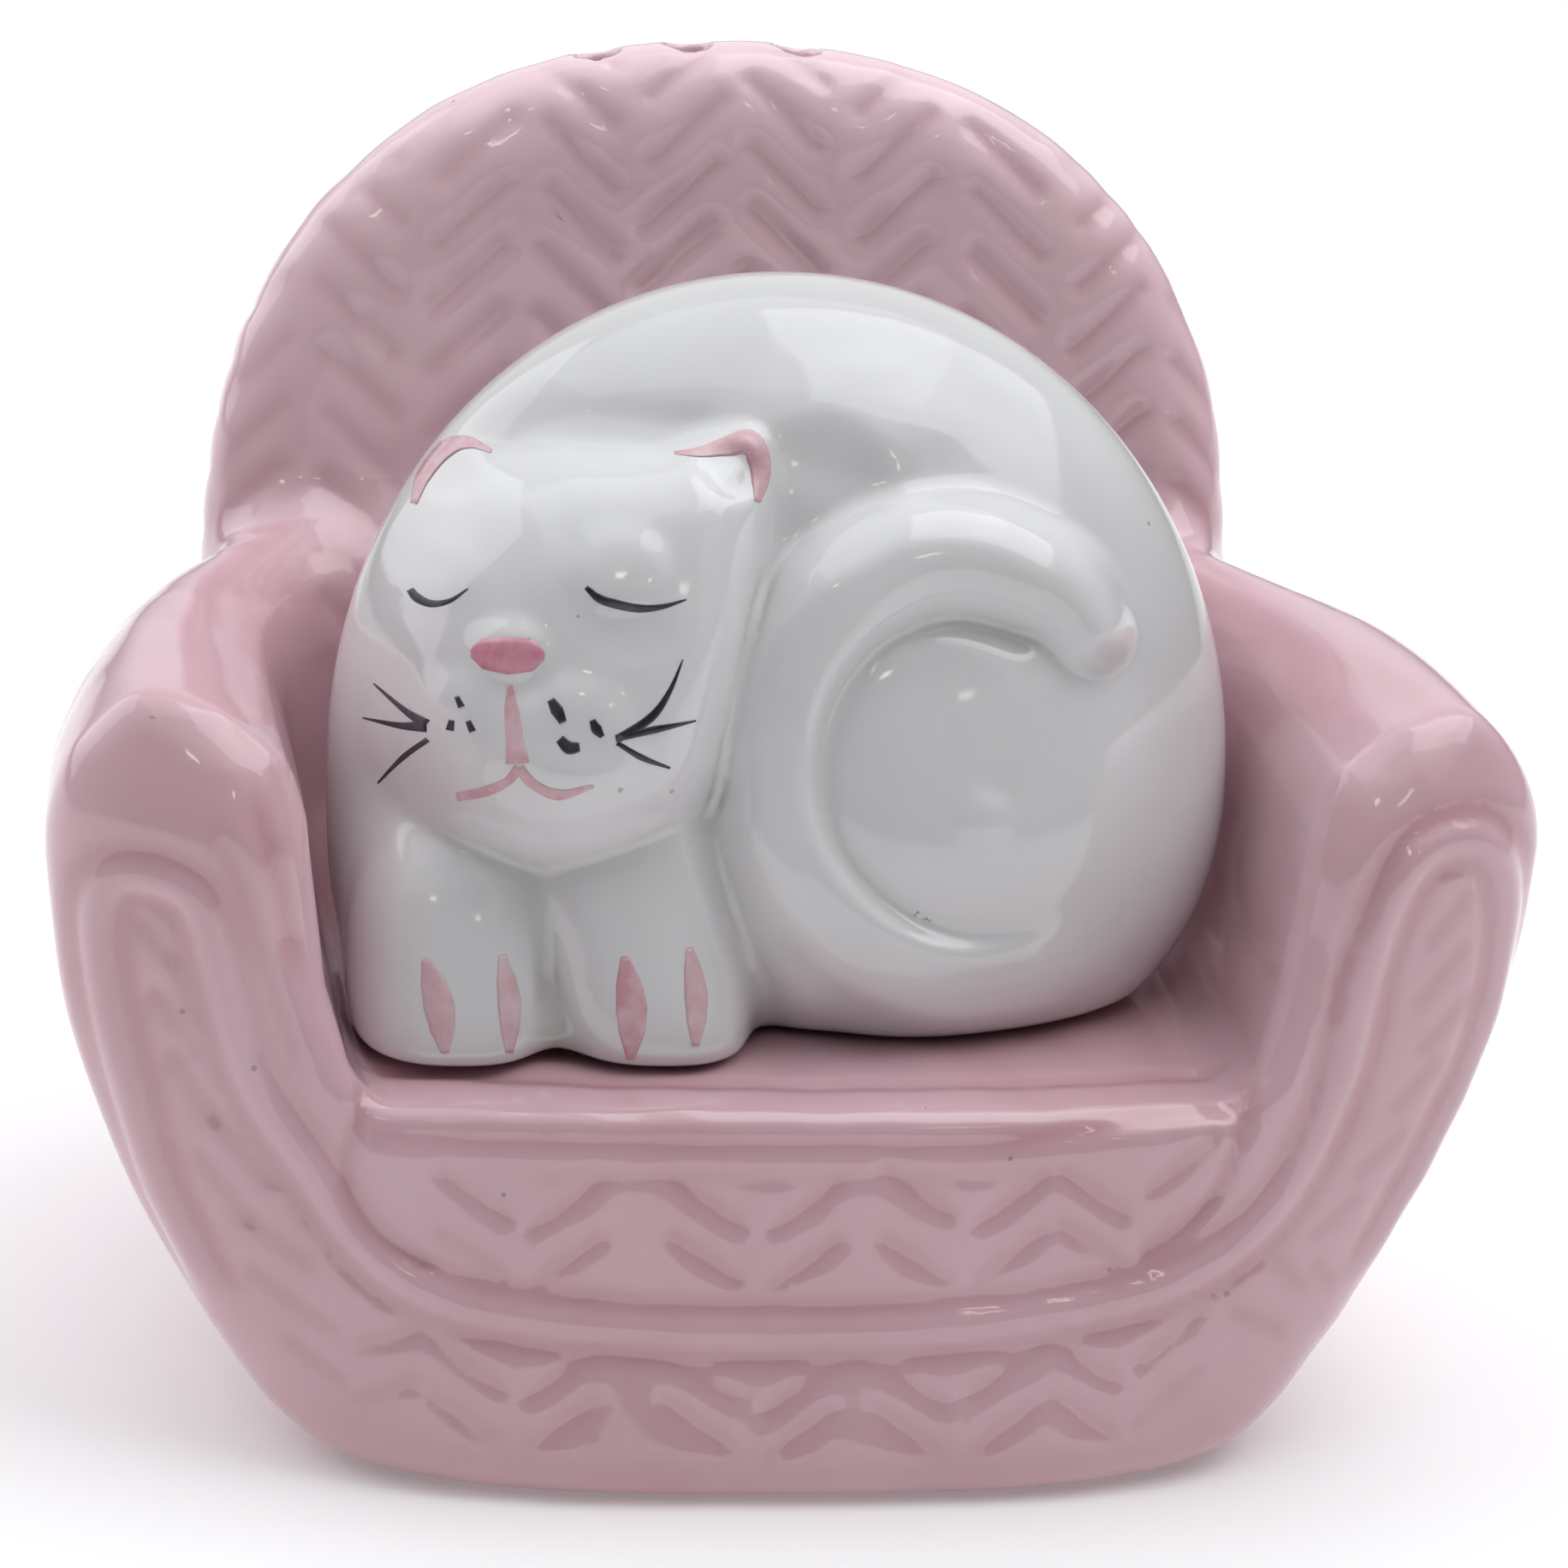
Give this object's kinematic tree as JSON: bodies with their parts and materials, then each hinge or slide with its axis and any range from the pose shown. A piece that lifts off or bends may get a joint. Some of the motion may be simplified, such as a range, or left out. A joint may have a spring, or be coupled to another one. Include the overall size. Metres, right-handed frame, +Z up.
{
  "type": "ceramic cat figurine",
  "caption": "Hollow glazed ceramic sleeping cat that nests in the seat of a quilted tub armchair, each with a soft stopper in its base and pour holes in its back.",
  "frame": {"origin": "middle of the whole pair's footprint, on the table", "axes": "+X across the arms, to the right as seen from the front; +Y from the front to the back; +Z up"},
  "size_m": [0.1022, 0.078, 0.0863],
  "materials": {
    "pink_glaze": "gloss",
    "white_glaze": "gloss",
    "pink_enamel": "gloss",
    "black_enamel": "gloss",
    "soft_plug": "satin"
  },
  "bodies": {
    "chair": {"chair_shell": "pink_glaze"},
    "chair_stopper": {"chair_stopper": "soft_plug"},
    "cat": {"cat_shell": "white_glaze", "cat_stopper": "soft_plug"}
  },
  "joints": [
    {"name": "cat_lift", "type": "slide", "parent": "chair", "child": "cat", "axis": [0, 0, 1], "range_m": [0, 0.08]},
    {"name": "chair_stopper_pull", "type": "slide", "parent": "chair", "child": "chair_stopper", "axis": [0, 0, -1], "range_m": [0, 0.012]}
  ]
}
